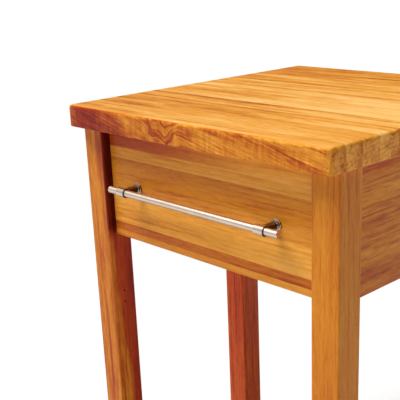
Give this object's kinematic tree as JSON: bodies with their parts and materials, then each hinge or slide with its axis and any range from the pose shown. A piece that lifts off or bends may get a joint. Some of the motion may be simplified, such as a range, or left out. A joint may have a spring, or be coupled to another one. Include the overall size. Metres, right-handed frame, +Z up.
{
  "type": "butcher block table",
  "caption": "Tall butcher block work table on square legs with a deep drawer on roller slides, a round bar pull, and a top that overhangs the rear legs.",
  "frame": {"origin": "on the floor under the middle of the table's overall box", "axes": "+Z up, -Y towards the drawer's front, +X to the right of someone facing the drawer"},
  "size_m": [0.584, 0.616, 0.914],
  "materials": {
    "top_wood": "satin varnish over edge-glued strips",
    "leg_wood": "satin varnish",
    "front_wood": "satin varnish over edge-glued strips",
    "frame_wood": "satin varnish",
    "box_wood": "clear lacquer",
    "nickel": "satin nickel plate",
    "zinc_steel": "bright zinc plate",
    "slide_enamel": "white epoxy enamel",
    "nylon": "moulded",
    "rubber": "matte"
  },
  "bodies": {
    "table": {"butcher_block_top": "top_wood", "leg_front_left": "leg_wood", "leg_front_right": "leg_wood", "leg_rear_left": "leg_wood", "leg_rear_right": "leg_wood", "leg_feet": "nylon", "foot_screws": "zinc_steel", "side_apron_left": "frame_wood", "side_apron_right": "frame_wood", "rear_apron": "frame_wood", "front_top_rail": "frame_wood", "front_bottom_rail": "frame_wood", "frame_dowels": "box_wood", "corner_block_left": "box_wood", "corner_block_right": "box_wood", "corner_block_lags": "zinc_steel", "top_clips": "zinc_steel", "top_clip_screws": "zinc_steel", "apron_clip_screws": "zinc_steel", "slide_packer_left": "frame_wood", "slide_packer_right": "frame_wood", "packer_screws": "zinc_steel", "cabinet_slide_left": "slide_enamel", "cabinet_slide_right": "slide_enamel", "cabinet_slide_screws": "zinc_steel", "cabinet_roller_pins": "zinc_steel"},
    "drawer": {"drawer_front": "front_wood", "drawer_inner_front": "box_wood", "drawer_side_left": "box_wood", "drawer_side_right": "box_wood", "drawer_back": "box_wood", "drawer_bottom": "box_wood", "drawer_front_screws": "zinc_steel", "drawer_bumpers": "rubber", "drawer_slide_left": "slide_enamel", "drawer_slide_right": "slide_enamel", "drawer_slide_screws": "zinc_steel", "drawer_roller_pins": "zinc_steel", "handle_bar": "nickel", "handle_post_left": "nickel", "handle_post_right": "nickel", "handle_screws": "zinc_steel"},
    "cabinet_roller_left": {"cabinet_roller_left": "nylon"},
    "cabinet_roller_right": {"cabinet_roller_right": "nylon"},
    "drawer_roller_left": {"drawer_roller_left": "nylon"},
    "drawer_roller_right": {"drawer_roller_right": "nylon"}
  },
  "joints": [
    {"name": "drawer_slide", "type": "slide", "parent": "table", "child": "drawer", "axis": [0, -1, 0], "range_m": [0, 0.25]},
    {"name": "cabinet_roller_left_spin", "type": "hinge", "parent": "table", "child": "cabinet_roller_left", "pos_m": [-0.2303, -0.233, 0.7267], "axis": [1, 0, 0], "continuous": true},
    {"name": "cabinet_roller_right_spin", "type": "hinge", "parent": "table", "child": "cabinet_roller_right", "pos_m": [0.2303, -0.233, 0.7267], "axis": [1, 0, 0], "continuous": true},
    {"name": "drawer_roller_left_spin", "type": "hinge", "parent": "drawer", "child": "drawer_roller_left", "pos_m": [-0.229, 0.039, 0.7285], "axis": [1, 0, 0], "continuous": true},
    {"name": "drawer_roller_right_spin", "type": "hinge", "parent": "drawer", "child": "drawer_roller_right", "pos_m": [0.229, 0.039, 0.7285], "axis": [1, 0, 0], "continuous": true}
  ],
  "couplings": [
    {"joint": "cabinet_roller_left_spin", "follows": "drawer_slide", "rad_per_m": 111.11},
    {"joint": "cabinet_roller_right_spin", "follows": "drawer_slide", "rad_per_m": 111.11},
    {"joint": "drawer_roller_left_spin", "follows": "drawer_slide", "rad_per_m": 90.909},
    {"joint": "drawer_roller_right_spin", "follows": "drawer_slide", "rad_per_m": 90.909}
  ]
}
